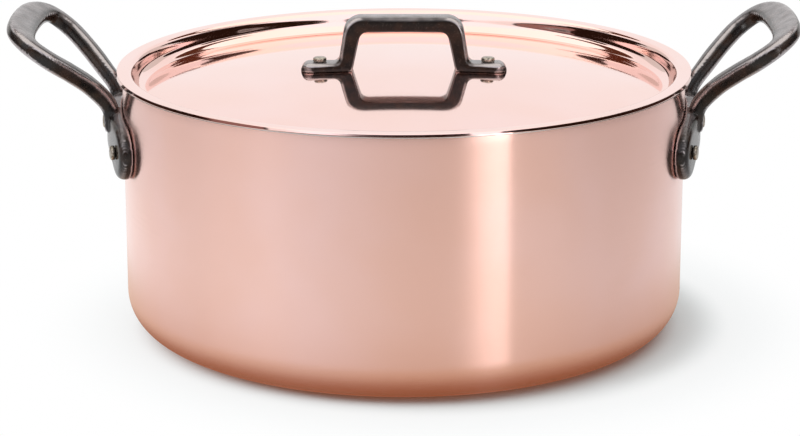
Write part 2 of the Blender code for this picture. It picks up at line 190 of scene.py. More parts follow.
def sheetSection(line, near, far, edgeRound, draft=0):
    # the closed section between two offsets of a line, with its free edge leaning in by the draft and
    # rounded on both corners. Points along the edge keep it flat under smooth shading
    outer = sideStep(line, far)
    outer[0, 0] -= draft
    inner = sideStep(line, near)
    first = softCorner(outer[1], outer[0], inner[0], edgeRound, edgeSteps)
    second = softCorner(outer[0], inner[0], inner[1], edgeRound, edgeSteps)
    edge = np.linspace(first[-1], second[0], edgeSteps + 1)[1:-1]
    return np.vstack([outer[:0:-1], first, edge, second, inner[1:]])


# settings that many nodes share, and a mix node's sockets by place, because their names repeat
softStep = {"interpolation_type": "SMOOTHSTEP"}
noiseSpan = {"From Min": 0.3, "From Max": 0.7}  # nearly all of a noise's values lie between these
colourMix = {"data_type": "RGBA"}
valueMix = {"data_type": "FLOAT"}
mixShare, valueFrom, valueTo, colourFrom, colourTo, mixedColour = 0, 2, 3, 6, 7, 2

copperLook = {
    "wallTones": ("#F9D1C9", "#F7CCC0"),
    "wallRoughness": 0.24,
    "wallStretch": 1.0,
    "stretchTurn": 0.25,  # a quarter turn, so that the wall's reflections are drawn out up and down
    # the same copper as the wall, drawn a little lighter: painted light for the lid's brighter look
    "lidTones": ("#FBD9D3", "#FAD5CC"),
    "lidRoughness": 0.06,
    "roughnessSwing": (0.95, 1.05),
    "turnLine": 0.9 * mm,  # real polishing lines are about 0.05 mm apart and wouldn't show
    "cloudSize": 60 * mm,
}


def turningLines(tree, pitch):
    # distance along a turned sheet: radius plus height, so lines ring the wall and the flat alike
    where = addNode(tree, "ShaderNodeTexCoord").outputs["Object"]
    parts = addNode(tree, "ShaderNodeSeparateXYZ", None, {"Vector": where})
    flat = addNode(tree, "ShaderNodeCombineXYZ", None, {"X": parts.outputs["X"], "Y": parts.outputs["Y"]})
    radius = addNode(tree, "ShaderNodeVectorMath", {"operation": "LENGTH"}, {0: flat.outputs[0]})
    run = addNode(
        tree, "ShaderNodeMath", {"operation": "ADD"}, {0: radius.outputs["Value"], 1: parts.outputs["Z"]}
    )
    lines = addNode(
        tree,
        "ShaderNodeTexNoise",
        {"noise_dimensions": "1D"},
        {"W": run.outputs[0], "Scale": 1 / pitch, "Detail": 2.0, "Roughness": 0.6},
    )
    return where, lines.outputs["Fac"]


def copperFinish(name, tones, roughness, stretch):
    # copper: rolled, spun and buffed. Rose by nature and nearly white where it grazes; on the wall the
    # buffing rings draw every reflection out into upright bands, on the lid it is close to a mirror.
    material, tree, shader = startMaterial(name)
    where, lines = turningLines(tree, copperLook["turnLine"])
    cloud = addNode(
        tree,
        "ShaderNodeTexNoise",
        None,
        {"Vector": where, "Scale": 1 / copperLook["cloudSize"], "Detail": 2.0},
    )
    share = addNode(tree, "ShaderNodeMapRange", softStep, {"Value": cloud.outputs["Fac"], **noiseSpan})
    colour = addNode(
        tree,
        "ShaderNodeMix",
        colourMix,
        {mixShare: share.outputs["Result"], colourFrom: toLinear(tones[0]), colourTo: toLinear(tones[1])},
    )
    low, high = (roughness * swing for swing in copperLook["roughnessSwing"])
    polish = addNode(
        tree, "ShaderNodeMapRange", None, {"Value": lines, **noiseSpan, "To Min": low, "To Max": high}
    )
    tree.links.new(colour.outputs[mixedColour], shader.inputs["Base Color"])
    tree.links.new(polish.outputs["Result"], shader.inputs["Roughness"])
    shader.inputs["Metallic"].default_value = 1.0
    if stretch:
        shader.inputs["Anisotropic"].default_value = stretch
        shader.inputs["Anisotropic Rotation"].default_value = copperLook["stretchTurn"]
        around = addNode(tree, "ShaderNodeTangent", {"direction_type": "RADIAL", "axis": "Z"})
        tree.links.new(around.outputs[0], shader.inputs["Tangent"])
    return material


ironLook = {
    "skin": "#1D1817",
    "brown": "#33241D",
    "brownSpan": {"From Min": 0.4, "From Max": 0.65},  # of the swell's noise
    "speck": "#857B76",
    "speckSpan": {"From Min": 0.62, "From Max": 0.8, "To Max": 0.5},  # of the grain's noise
    "roughness": 0.2,
    "roughnessSwing": (1.15, 0.85),
    "specular": 0.32,
    "swell": 7 * mm,
    "swellRelief": {"Strength": 0.5, "Distance": 0.35 * mm},
    "grain": 0.5 * mm,  # the sand's own grain is about 0.2 mm and wouldn't show
    "grainRelief": {"Strength": 0.5, "Distance": 0.05 * mm},
    # bare grey metal where rubbing has bared the ridges, and the same grey as a painted highlight on them and
    # a painted sheen on upward faces
    "wornAndSheen": "#B2AAAB",
    "wornAndSheenRoughness": 0.22,
    "wornAndSheenMetal": 0.85,
    "wornAndSheenPatch": 6 * mm,
    "wornAndSheenBreak": 0.5,  # share of the patches' noise that is added to the wear
    "wornAndSheenSpan": {"From Min": 0.7, "From Max": 1.55},
    # ridges take bared metal and a painted highlight; faces turned upwards take a painted sheen, from this
    # normal's Z upwards
    "ridgeWearAndHighlight": 1.3,
    "topSheen": 0.84,
    "topSheenFrom": 0.3,
}


def ironFinish(name):
    # cast iron: sand cast, fettled and oiled. Brown-black and half glossy, over a sandy grain whose tips
    # rubbing has made bright, and ground to bare grey metal in broken lines along its ridges. The same grey
    # paints a highlight on those ridges and a sheen on the faces that turn upwards.
    material, tree, shader = startMaterial(name)
    where = addNode(tree, "ShaderNodeTexCoord").outputs["Object"]
    noises = (
        addNode(tree, "ShaderNodeTexNoise", None, {"Vector": where, "Scale": 1 / size, "Detail": detail})
        for size, detail in ((ironLook["grain"], 2.0), (ironLook["swell"], 4.0), (ironLook["wornAndSheenPatch"], 3.0))
    )
    grain, swell, broken = (noise.outputs["Fac"] for noise in noises)
    # how much of the grey layer a point takes: bared ridges with their painted highlight, and the painted
    # sheen on upward faces
    wearAndSheen = addNode(tree, "ShaderNodeAttribute", {"attribute_name": "wearAndSheen"})
    patchyWearAndSheen = addNode(
        tree,
        "ShaderNodeMath",
        {"operation": "MULTIPLY_ADD"},
        {0: broken, 1: ironLook["wornAndSheenBreak"], 2: wearAndSheen.outputs["Fac"]},
    )
    brown, specks, wornAndSheen = (
        addNode(tree, "ShaderNodeMapRange", softStep, {"Value": value, **ironLook[span]}).outputs["Result"]
        for value, span in ((swell, "brownSpan"), (grain, "speckSpan"), (patchyWearAndSheen.outputs[0], "wornAndSheenSpan"))
    )
    # each layer covers the one before by its own share
    colour = toLinear(ironLook["skin"])
    for share, tone in ((brown, "brown"), (specks, "speck"), (wornAndSheen, "wornAndSheen")):
        layer = {mixShare: share, colourFrom: colour, colourTo: toLinear(ironLook[tone])}
        colour = addNode(tree, "ShaderNodeMix", colourMix, layer).outputs[mixedColour]
    low, high = (ironLook["roughness"] * swing for swing in ironLook["roughnessSwing"])
    gloss = addNode(
        tree, "ShaderNodeMapRange", None, {"Value": grain, **noiseSpan, "To Min": low, "To Max": high}
    )
    smoothed = addNode(
        tree,
        "ShaderNodeMix",
        valueMix,
        {mixShare: wornAndSheen, valueFrom: gloss.outputs["Result"], valueTo: ironLook["wornAndSheenRoughness"]},
    )
    relief = addNode(tree, "ShaderNodeBump", None, {"Height": swell, **ironLook["swellRelief"]})
    fine = addNode(
        tree,
        "ShaderNodeBump",
        None,
        {"Height": grain, **ironLook["grainRelief"], "Normal": relief.outputs[0]},
    )
    bare = addNode(tree, "ShaderNodeMath", {"operation": "MULTIPLY"}, {0: wornAndSheen, 1: ironLook["wornAndSheenMetal"]})
    tree.links.new(colour, shader.inputs["Base Color"])
    tree.links.new(smoothed.outputs[0], shader.inputs["Roughness"])
    tree.links.new(bare.outputs[0], shader.inputs["Metallic"])
    tree.links.new(fine.outputs[0], shader.inputs["Normal"])
    shader.inputs["Specular IOR Level"].default_value = ironLook["specular"]
    return material


def patternedSteel(material, tree, shader, look, pattern, share):
    # one pattern drives the mix of two tones, the roughness and the relief
    first, second = (toLinear(tone) for tone in look["tones"])
    colour = addNode(
        tree,
        "ShaderNodeMix",
        colourMix,
        {mixShare: share.outputs["Result"], colourFrom: first, colourTo: second},
    )
    low, high = (look["roughness"] * swing for swing in look["roughnessSwing"])
    rough = addNode(
        tree, "ShaderNodeMapRange", None, {"Value": pattern, **noiseSpan, "To Min": low, "To Max": high}
    )
    bump = addNode(tree, "ShaderNodeBump", None, {"Height": pattern, **look["relief"]})
    tree.links.new(colour.outputs[mixedColour], shader.inputs["Base Color"])
    tree.links.new(rough.outputs["Result"], shader.inputs["Roughness"])
    tree.links.new(bump.outputs[0], shader.inputs["Normal"])
    shader.inputs["Metallic"].default_value = 1.0
    return material


steelLook = {
    "tones": ("#C4C1BC", "#DEDCD8"),
    "roughness": 0.3,
    "roughnessSwing": (1.15, 0.85),
    "turnLine": 0.7 * mm,  # real brushing lines are about 0.1 mm apart and wouldn't show
    "relief": {"Strength": 0.25, "Distance": 0.01 * mm},
}


def steelFinish(name):
    # stainless steel: rolled and satin brushed in rings, a broad even grey sheen.
    material, tree, shader = startMaterial(name)
    lines = turningLines(tree, steelLook["turnLine"])[1]
    share = addNode(tree, "ShaderNodeMapRange", softStep, {"Value": lines, **noiseSpan})
    return patternedSteel(material, tree, shader, steelLook, lines, share)


rivetLook = {
    "tones": ("#B3AA9E", "#4E4741"),  # bright metal, and the dark that its dents hold
    "pitSpan": {"From Min": 0.5, "From Max": 0.7},  # of the pits' noise
    "pitSize": 0.9 * mm,
    "roughness": 0.32,
    "roughnessSwing": (0.8, 1.3),
    "relief": {"Strength": 0.6, "Distance": 0.12 * mm},
}


def rivetFinish(name):
    # steel rivet: cold headed by hammer. Bright, slightly warm, with small dents that hold dark.
    material, tree, shader = startMaterial(name)
    where = addNode(tree, "ShaderNodeTexCoord").outputs["Object"]
    pits = addNode(
        tree, "ShaderNodeTexNoise", None, {"Vector": where, "Scale": 1 / rivetLook["pitSize"], "Detail": 2.0}
    ).outputs["Fac"]
    share = addNode(tree, "ShaderNodeMapRange", softStep, {"Value": pits, **rivetLook["pitSpan"]})
    return patternedSteel(material, tree, shader, rivetLook, pits, share)


wallCopper = copperFinish(
    "spunBuffedCopper", copperLook["wallTones"], copperLook["wallRoughness"], copperLook["wallStretch"]
)
lidCopper = copperFinish("mirrorBuffedCopper", copperLook["lidTones"], copperLook["lidRoughness"], 0)
castIron = ironFinish("oiledCastIron")
satinSteel = steelFinish("satinBrushedSteel")
rivetSteel = rivetFinish("coldHeadedRivetSteel")
print("finishes made")

pot = {
    "radius": 142 * mm,
    "height": 131 * mm,
    "heel": 20 * mm,
    "copper": 1.7 * mm,  # down to the bonded steel
    "bond": 0.02 * mm,
    "wall": 2.0 * mm,
    "rimRound": 0.4 * mm,
    "liningRound": 0.1 * mm,
    "wallStop": 1.5 * mm,  # above the heel's arc
    "wallRows": 22,
    "heelRows": 22,
    "baseStart": 2 * mm,  # inside the heel's arc
    "baseRows": 14,
    "turns": 288,
}


def potLine():
    # down the wall from the rim, round the heel in a quarter circle, in along the base to the axis
    centre = pot["radius"] - pot["heel"]
    heights = np.linspace(pot["height"], pot["heel"] + pot["wallStop"], pot["wallRows"])
    wall = np.stack([np.full(len(heights), pot["radius"]), heights], -1)
    heel = arcPoints((centre, pot["heel"]), pot["heel"], 0, -math.pi / 2, pot["heelRows"])
    radii = np.linspace(centre - pot["baseStart"], 0, pot["baseRows"])
    base = np.stack([radii, np.zeros(len(radii))], -1)
    return np.vstack([wall, heel, base])


potShell = turnedPiece(
    "potShell", sheetSection(potLine(), 0, pot["copper"], pot["rimRound"]), pot["turns"], wallCopper
)
potLining = turnedPiece(
    "potLining",
    sheetSection(potLine(), pot["copper"] + pot["bond"], pot["wall"], pot["liningRound"]),
    pot["turns"],
    satinSteel,
)
print("pot body made")

lid = {
    "seat": 131.3 * mm,
    "overhang": 3 * mm,
    "clearance": 1.1 * mm,
    "stepDepth": 11.4 * mm,
    "stepSlant": math.radians(12),
    "stepEase": 0.03,  # how much further the step leans where it leaves the flange, as spun sheet does
    "domeRise": 9.5 * mm,
    "neckRound": 0.4 * mm,
    "troughRound": 8 * mm,
    "lining": 0.3 * mm,
    "bond": 0.02 * mm,
    "thickness": 2.0 * mm,
    "edgeRound": 0.15 * mm,
    "liningRound": 0.05 * mm,
    "edgeLean": math.tan(math.radians(12.7)),
    "flangeStop": 2 * mm,  # out from the neck
    "flangeRows": 4,
    "neckRows": 12,
    "stepRows": 12,
    "troughRows": 28,
    "domeStart": 7.5 * mm,  # in from the foot of the step
    "domeRows": 40,
    "turns": 320,
}
mouth = pot["radius"] - pot["wall"]
footX = mouth - lid["clearance"] - lid["stepDepth"] * math.tan(lid["stepSlant"])
footZ = lid["seat"] - lid["stepDepth"]
domeRadius = (footX**2 + lid["domeRise"] ** 2) / (2 * lid["domeRise"])


def underDome(r):
    # height of a sphere's cap at a distance from its axis
    return footZ + lid["domeRise"] - domeRadius + np.sqrt(domeRadius**2 - np.asarray(r) ** 2)


def overDome(r):
    # the same for a sphere larger by the lid's thickness
    sphere = domeRadius + lid["thickness"]
    return footZ + lid["domeRise"] + lid["thickness"] - sphere + np.sqrt(sphere**2 - np.asarray(r) ** 2)


def lidLine():
    # in along the flange, down the step, through the trough and over the dome to the axis
    edge = np.array([pot["radius"] + lid["overhang"], lid["seat"]])
    neck = np.array([mouth - lid["clearance"], lid["seat"]])
    foot = np.array([footX, footZ])
    rings = np.linspace(footX - lid["domeStart"], 0, lid["domeRows"])
    dome = np.stack([rings, underDome(rings)], -1)
    flange = np.linspace(edge, neck + (lid["flangeStop"], 0), lid["flangeRows"])
    neckArc = softCorner(edge, neck, foot, lid["neckRound"], lid["neckRows"])
    troughArc = softCorner(neck, foot, dome[0], lid["troughRound"], lid["troughRows"])
    # the step moves in from its chord by s (1 - s)^2 times its depth and its ease
    s = np.linspace(0, 1, lid["stepRows"] + 2)[1:-1, None]
    step = neckArc[-1] + (troughArc[0] - neckArc[-1]) * s
    step[:, :1] -= lid["stepDepth"] * lid["stepEase"] * s * (1 - s) ** 2
    return np.vstack([flange, neckArc, step, troughArc, dome])


lidBond = lid["lining"] + lid["bond"]
lidShellDraft = (lid["thickness"] - lidBond) * lid["edgeLean"]
lidShell = turnedPiece(
    "lidShell",
    sheetSection(lidLine(), lidBond, lid["thickness"], lid["edgeRound"], lidShellDraft),
    lid["turns"],
    lidCopper,
)
lidLining = turnedPiece(
    "lidLining",
    sheetSection(lidLine(), 0, lid["lining"], lid["liningRound"], lid["lining"] * lid["edgeLean"]),
    lid["turns"],
    satinSteel,
)
print("lid made")

handle = {
    "back": 142.3 * mm,
    "height": 104.4 * mm,  # of the middle rivet
    "waistThick": 8.3 * mm,
    "lobeThick": 6.4 * mm,
    "edgeRound": 4 * mm,
    "waistRadius": 12.6 * mm,
    "waistDepth": 10.5 * mm,
    "lobeRadius": 13.8 * mm,
    "lobeSpan": 40 * mm,
    "lobeDrop": 6.6 * mm,
    "outlineSteps": {"bottom": 24, "lobe": 44, "top": 16, "waist": 8},
    "sectionSteps": {"back": 6, "wall": 4, "bend": 9, "front": 6},
    # out from the wall, up over the middle rivet, to the side, tilt in degrees, width, thickness
    "stations": (
        (4.6, 0.0, 18.5, 88, 9.0, 7.0),
        (5.4, 12.0, 20.0, 72, 9.5, 8.0),
        (13.5, 23.0, 25.0, 48, 9.5, 8.5),
        (22.5, 32.0, 33.5, 42, 9.5, 8.5),
        (32.0, 40.0, 41.0, 38, 9.5, 8.5),
        (41.5, 47.0, 40.5, 33, 11.0, 8.0),
        (47.1, 50.0, 27.5, 28, 14.0, 7.5),
        (48.9, 50.6, 0.0, 28, 15.0, 7.5),
    ),
    "steps": 18,
    "sides": 40,
    "squareness": 3.6,
    "voxel": 0.55 * mm,
    "softenShare": 0.5,
    "softenRounds": 14,
    "wornAndSheenRound": 2.2 * mm,  # a ridge this sharp is fully bared and takes the full painted highlight
}
plateMiddle = handle["back"] + handle["waistThick"] / 2


def plateThick(side):
    # half a cosine wave from the waist down to the lobes
    share = np.clip(np.abs(side) / handle["lobeSpan"], 0, 1)
    swell = (1 + np.cos(np.pi * share)) / 2
    return handle["lobeThick"] + (handle["waistThick"] - handle["lobeThick"]) * swell


def plateOutline():
    # two lobe arcs and a waist arc joined by straight top edges and one hollow bottom arc
    steps = handle["outlineSteps"]
    lobe = np.array([handle["lobeSpan"], -handle["lobeDrop"]])
    lean = math.acos((handle["waistRadius"] - handle["lobeRadius"]) / np.linalg.norm(lobe))
    touch = math.atan2(lobe[1], lobe[0]) + lean
    drop = handle["waistDepth"] - handle["lobeDrop"]
    hollow = (lobe[0] ** 2 + drop**2 - handle["lobeRadius"] ** 2) / (2 * (handle["lobeRadius"] - drop))
    low = np.array([0, -handle["waistDepth"] - hollow])
    meet = math.atan2(lobe[1] - low[1], lobe[0])
    bottom = arcPoints(low, hollow, math.pi / 2, meet, steps["bottom"])
    lobeArc = arcPoints(lobe, handle["lobeRadius"], meet - math.pi, touch, steps["lobe"])
    shoulder = handle["waistRadius"] * np.array([math.cos(touch), math.sin(touch)])
    top = np.linspace(lobeArc[-1], shoulder, steps["top"])
    waist = arcPoints((0, 0), handle["waistRadius"], touch, math.pi / 2, steps["waist"])
    half = np.vstack([bottom, lobeArc[1:], top[1:], waist[1:]])
    return np.vstack([half, half[-2:0:-1] * (-1, 1)])


def plateSurface():
    # a section carried round the outline: across the back, up the edge, round it and in over the front to
    # the spine that joins the rivets. Then the whole is bent round the wall: the angle is the distance to
    # the side over the plate's middle radius
    edge = plateOutline()
    lobe = np.array([handle["lobeSpan"], -handle["lobeDrop"]])
    share = np.clip(np.abs(edge[:, 0]) * lobe[0] + edge[:, 1] * lobe[1], 0, lobe @ lobe) / (lobe @ lobe)
    spine = np.stack([np.sign(edge[:, 0]) * share * lobe[0], share * lobe[1]], -1)
    reach = np.linalg.norm(edge - spine, axis=1)
    thick = plateThick(edge[:, 0])
    none = np.zeros(len(edge))
    soft = handle["edgeRound"]
    steps = handle["sectionSteps"]
    back = np.linspace(1, 0, steps["back"])[:-1, None]
    wall = np.linspace(0, 1, steps["wall"])[:-1, None]
    bend = np.linspace(0, math.pi / 2, steps["bend"])[:, None]
    front = np.linspace(0, 1, steps["front"])[1:, None]
    inset = np.vstack(
        [reach * back, none * wall, none + soft * (1 - np.cos(bend)), soft + (reach - soft) * front]
    )
    flat = edge + (spine - edge) * (inset / reach)[..., None]
    frontLift = plateThick(flat[-len(front) :, :, 0])
    lift = np.vstack([none * back, (thick - soft) * wall, thick - soft * (1 - np.sin(bend)), frontLift])
    turn = flat[..., 0] / plateMiddle
    radius = handle["back"] + lift
    points = np.stack([radius * np.cos(turn), radius * np.sin(turn), handle["height"] + flat[..., 1]], -1)
    return points.reshape(-1, 3), gridFaces(*lift.shape, closed=True).tolist()


def smoothRows(rows, steps):
    # a cubic through every row whose slope there is half the step between its neighbours
    rows = np.asarray(rows, float)
    full = np.vstack([rows[:1], rows, rows[-1:]])
    a, b, c, d = (full[i : i + len(rows) - 1, None, :] for i in range(4))
    s = (np.arange(steps) / steps)[None, :, None]
    lift = 2 * s**3 - 3 * s**2 + 1
    between = lift * b + (1 - lift) * c + (s**3 - 2 * s**2 + s) * (c - a) / 2 + (s**3 - s**2) * (d - b) / 2
    return np.vstack([between.reshape(-1, rows.shape[1]), rows[-1:]])


def loopSurface():
    # a superellipse section carried along the loop, its width square to the path and its thickness tilted:
    # the cosine and sine of v, each to the power of 2 over the squareness, with its sign kept
    unit = np.array([mm, mm, mm, 1, mm, mm])
    front = np.array(handle["stations"]) * unit
    back = front[-2::-1].copy()
    front[:, 2] *= -1
    rows = smoothRows(np.vstack([front, back]), handle["steps"])
    centre = np.stack([pot["radius"] + rows[:, 0], rows[:, 2], handle["height"] + rows[:, 1]], -1)
    ends = np.vstack([centre[:1], centre, centre[-1:]])
    along = ends[2:] - ends[:-2]
    tilt = np.radians(rows[:, 3])
    lean = np.stack([-np.sin(tilt), np.zeros(len(tilt)), np.cos(tilt)], -1)
    across = np.cross(along, lean)
    across /= np.linalg.norm(across, axis=1)[:, None]
    up = np.cross(across, along)
    up /= np.linalg.norm(up, axis=1)[:, None]
    v = 2 * np.pi * (np.arange(handle["sides"]) + 0.5) / handle["sides"]
    power = 2 / handle["squareness"]
    x = np.sign(np.cos(v)) * np.abs(np.cos(v)) ** power
    y = np.sign(np.sin(v)) * np.abs(np.sin(v)) ** power
    points = (
        centre[:, None, :]
        + across[:, None, :] * (rows[:, 4] / 2)[:, None, None] * x[None, :, None]
        + up[:, None, :] * (rows[:, 5] / 2)[:, None, None] * y[None, :, None]
    )
    return points.reshape(-1, 3), barFaces(len(rows), handle["sides"])


def markWearAndSheen(mesh, radius):
    # how far rubbing has bared the metal on ridges, which also take a painted highlight, and how much painted
    # sheen
    # the faces that turn upwards get: the larger of two. A ridge's is a number times the square of how
    # sharply the surface turns outwards, which is a vertex's height over the mean of its neighbours, as a
    # share of what a ridge of this radius has there, eased by two rounds of averaging. A top's, the painted
    # sheen, is a number times a smooth step of the normal's Z
    count = len(mesh.vertices)
    points = np.empty(count * 3)
    mesh.vertices.foreach_get("co", points)
    points = points.reshape(-1, 3)
    normals = np.empty(count * 3)
    mesh.vertices.foreach_get("normal", normals)
    normals = normals.reshape(-1, 3)
    edges = np.empty(len(mesh.edges) * 2, int)
    mesh.edges.foreach_get("vertices", edges)
    near, far = np.concatenate([edges.reshape(-1, 2), edges.reshape(-1, 2)[:, ::-1]]).T
    many = np.maximum(np.bincount(near, minlength=count), 1)

    def averaged(values):
        return np.bincount(near, values[far], minlength=count) / many

    centre = np.stack([averaged(points[:, k]) for k in range(3)], -1)
    span = np.bincount(near, ((points[near] - points[far]) ** 2).sum(1), minlength=count) / many
    height = ((points - centre) * normals).sum(1)
    ridge = height * 4 * radius / np.maximum(span, 1e-12)
    for _ in range(2):
        ridge = (ridge + averaged(ridge)) / 2
    up = np.clip((normals[:, 2] - ironLook["topSheenFrom"]) / (1 - ironLook["topSheenFrom"]), 0, 1)
    wearAndSheen = np.maximum(
        ironLook["ridgeWearAndHighlight"] * np.clip(ridge, 0, 1) ** 2, ironLook["topSheen"] * up * up * (3 - 2 * up)
    )
    mark = mesh.attributes.new("wearAndSheen", "FLOAT", "POINT")
    mark.data.foreach_set("value", wearAndSheen.astype(np.float32))


def evaluatedMesh(obj, name):
    graph = bpy.context.evaluated_depsgraph_get()
    mesh = bpy.data.meshes.new_from_object(obj.evaluated_get(graph))
    mesh.name = name
    bpy.data.objects.remove(obj)
    return mesh


def castHandle():
    # plate and loop fused by a voxel remesh and softened, as a casting's corners are
    platePoints, plateFaces = plateSurface()
    loopPoints, loopFaces = loopSurface()
    faces = plateFaces + [[i + len(platePoints) for i in face] for face in loopFaces]
    rough = buildMesh("roughHandle", np.vstack([platePoints, loopPoints]), faces, castIron)
    remesh = rough.modifiers.new("fuse", "REMESH")
    remesh.mode = "VOXEL"
    remesh.voxel_size = handle["voxel"]
    remesh.use_smooth_shade = True
    smooth = rough.modifiers.new("soften", "SMOOTH")
    smooth.factor = handle["softenShare"]
    smooth.iterations = handle["softenRounds"]
    mesh = evaluatedMesh(rough, "sideHandle")
    mesh.shade_smooth()
    markWearAndSheen(mesh, handle["wornAndSheenRound"])
    return mesh


rightMesh = castHandle()
leftMesh = rightMesh.copy()
places = np.empty(len(leftMesh.vertices) * 3, np.float32)
leftMesh.vertices.foreach_get("co", places)
places = places.reshape(-1, 3) * (-1, -1, 1)  # half a turn about Z
leftMesh.vertices.foreach_set("co", places.astype(np.float32).ravel())
leftMesh.update()
sideHandles = {}
for name, mesh in (("sideHandleRight", rightMesh), ("sideHandleLeft", leftMesh)):
    sideHandles[name] = bpy.data.objects.new(name, mesh)
    bpy.context.scene.collection.objects.link(sideHandles[name])
print("side handles made", len(rightMesh.polygons))

bridge = {
    "length": 104 * mm,
    "depth": 12.5 * mm,
    "height": 27 * mm,
    "bar": 7.5 * mm,
    "foot": 3.2 * mm,
    "topSpan": 58.5 * mm,
    "rootSpan": 66 * mm,
    "openTop": 43.5 * mm,
    "openRoot": 52 * mm,
    "outerRound": 9 * mm,
    "innerRound": 4.5 * mm,
    "rootRound": 3.5 * mm,
    "heelRound": 0.8 * mm,
    "edgeRound": 2.4 * mm,
    "soleRound": 1.1 * mm,
    "roundLimit": 0.9,  # share of half the bar that a round takes at most
    "toeFall": 0.75,  # share of the foot's height that its top falls towards the toe
    "gap": 0.3 * mm,
    "seat": 0.05 * mm,
    "bendSteps": 17,
    "railSteps": 91,
    "cornerSteps": 6,
}


def railPoints(corners, rounds):
    # a filleted line read at even shares between its ends and the middles of its bends
    count = bridge["bendSteps"]
    bends = [softCorner(*corners[i : i + 3], radius, count) for i, radius in enumerate(rounds)]
    line = np.vstack([corners[:1], *bends, corners[-1:]])
    run = np.concatenate([[0], np.cumsum(np.linalg.norm(np.diff(line, axis=0), axis=1))])
    marks = np.concatenate([run[:1], run[1 + count // 2 : -1 : count], run[-1:]])
    s = np.interp(np.linspace(0, len(marks) - 1, bridge["railSteps"]), np.arange(len(marks)), marks)
    return np.stack([np.interp(s, run, line[:, 0]), np.interp(s, run, line[:, 1])], -1)


def bridgeSurface():
    # a rounded oblong carried between an outer and an inner rail. Its half depth is one radius, and over the
    # last radius of its length that times the root of 1 - p^2, p being the share of it already passed, so
    # that each end is a half circle
    base = float(overDome(0)) + bridge["gap"]
    half = bridge["length"] / 2
    seat = float(overDome(half)) + bridge["seat"]
    openSeat = float(overDome(bridge["openRoot"] / 2)) + bridge["seat"]
    step = base + bridge["foot"]
    over = base + bridge["height"]
    under = base + bridge["height"] - bridge["bar"]
    outer = railPoints(
        [(half, step), (bridge["rootSpan"] / 2, step), (bridge["topSpan"] / 2, over), (0, over)],
        (bridge["rootRound"], bridge["outerRound"]),
    )
    inner = railPoints(
        [(half, seat), (bridge["openRoot"] / 2, openSeat), (bridge["openTop"] / 2, under), (0, under)],
        (bridge["heelRound"], bridge["innerRound"]),
    )
    outer = np.vstack([outer, outer[-2::-1] * (-1, 1)])
    inner = np.vstack([inner, inner[-2::-1] * (-1, 1)])
    radius = bridge["depth"] / 2
    past = np.clip(np.abs(inner[:, 0]) - (half - radius), 0, radius) / radius
    outer = inner + (outer - inner) * (1 - bridge["toeFall"] * (1 - np.sqrt(1 - past**2)))[:, None]
    middle = (outer + inner) / 2
    thick = (outer - inner) / 2
    tall = np.linalg.norm(thick, axis=1)[:, None]
    deep = (radius * np.sqrt(1 - past**2))[:, None]
    # a quarter circle for each corner: outer back, inner back, inner front, outer front
    quarter = np.linspace(0, math.pi / 2, bridge["cornerSteps"])
    turn = np.concatenate([quarter, quarter[::-1], quarter, quarter[::-1]])
    outwards, backwards = np.repeat([[1, -1, -1, 1], [1, 1, -1, -1]], len(quarter), axis=1)
    soft = np.minimum(
        np.where(outwards > 0, bridge["edgeRound"], bridge["soleRound"]),
        np.minimum(tall, deep) * bridge["roundLimit"],
    )
    a = outwards * (tall - soft + soft * np.cos(turn)) / tall
    b = backwards * (deep - soft + soft * np.sin(turn))
    grid = np.stack([middle[:, :1] + thick[:, :1] * a, b, middle[:, 1:] + thick[:, 1:] * a], -1)
    return grid.reshape(-1, 3), barFaces(*grid.shape[:2])


lidHandle = buildMesh("lidHandle", *bridgeSurface(), castIron)
faceOutwards(lidHandle)
markWearAndSheen(lidHandle.data, bridge["edgeRound"])
print("lid handle made")

rivet = {
    "shank": 2.5 * mm,
    "button": 3.6 * mm,
    "buttonHigh": 2.2 * mm,
    "crown": 0.25 * mm,
    "crownSteps": 6,
    "corner": 0.6 * mm,
    "cornerSteps": 7,
    "bevel": 0.1 * mm,
    "head": 6.0 * mm,
    "headHigh": 1.6 * mm,
    "rim": 0.8 * mm,
    "rimInset": 0.7 * mm,
    "rimSteps": 9,
    "headClear": 0.55 * mm,
    "turns": 48,
}
lidRivet = {"shank": 2.2 * mm, "button": 3.4 * mm, "head": 5.0 * mm, "spacing": 85 * mm}


def rivetSection(shank, button, head, grip):
    # crowned button above z = 0, which falls as the square of the radius, shank, and a flat round-edged head
    # under the grip
    high, corner, rim, bevel = (rivet[key] for key in ("buttonHigh", "corner", "rim", "bevel"))
    quarter = math.pi / 2
    radii = np.linspace(0, button - corner, rivet["crownSteps"])
    crown = np.stack([radii, high - rivet["crown"] * (radii / button) ** 2], -1)
    cornerCentre = (button - corner, high - rivet["crown"] - corner)
    cornerArc = arcPoints(cornerCentre, corner, quarter, 0, rivet["cornerSteps"])
    under = np.array([[button, bevel], [button - bevel, 0], [shank, 0], [shank, -grip]])
    rimArc = arcPoints((head - rivet["rimInset"], -grip - rim), rim, quarter, -quarter, rivet["rimSteps"])
    foot = np.array([[head / 2, -grip - rivet["headHigh"]], [0, -grip - rivet["headHigh"]]])
    return np.vstack([crown, cornerArc[1:], under, rimArc, foot])


def radialPlace(turn, distance, height):
    # turns +Z outwards along a radius of the pot
    c, s = math.cos(turn), math.sin(turn)
    return [[0, -s, c], [0, c, s], [-1, 0, 0]], [distance * c, distance * s, height]


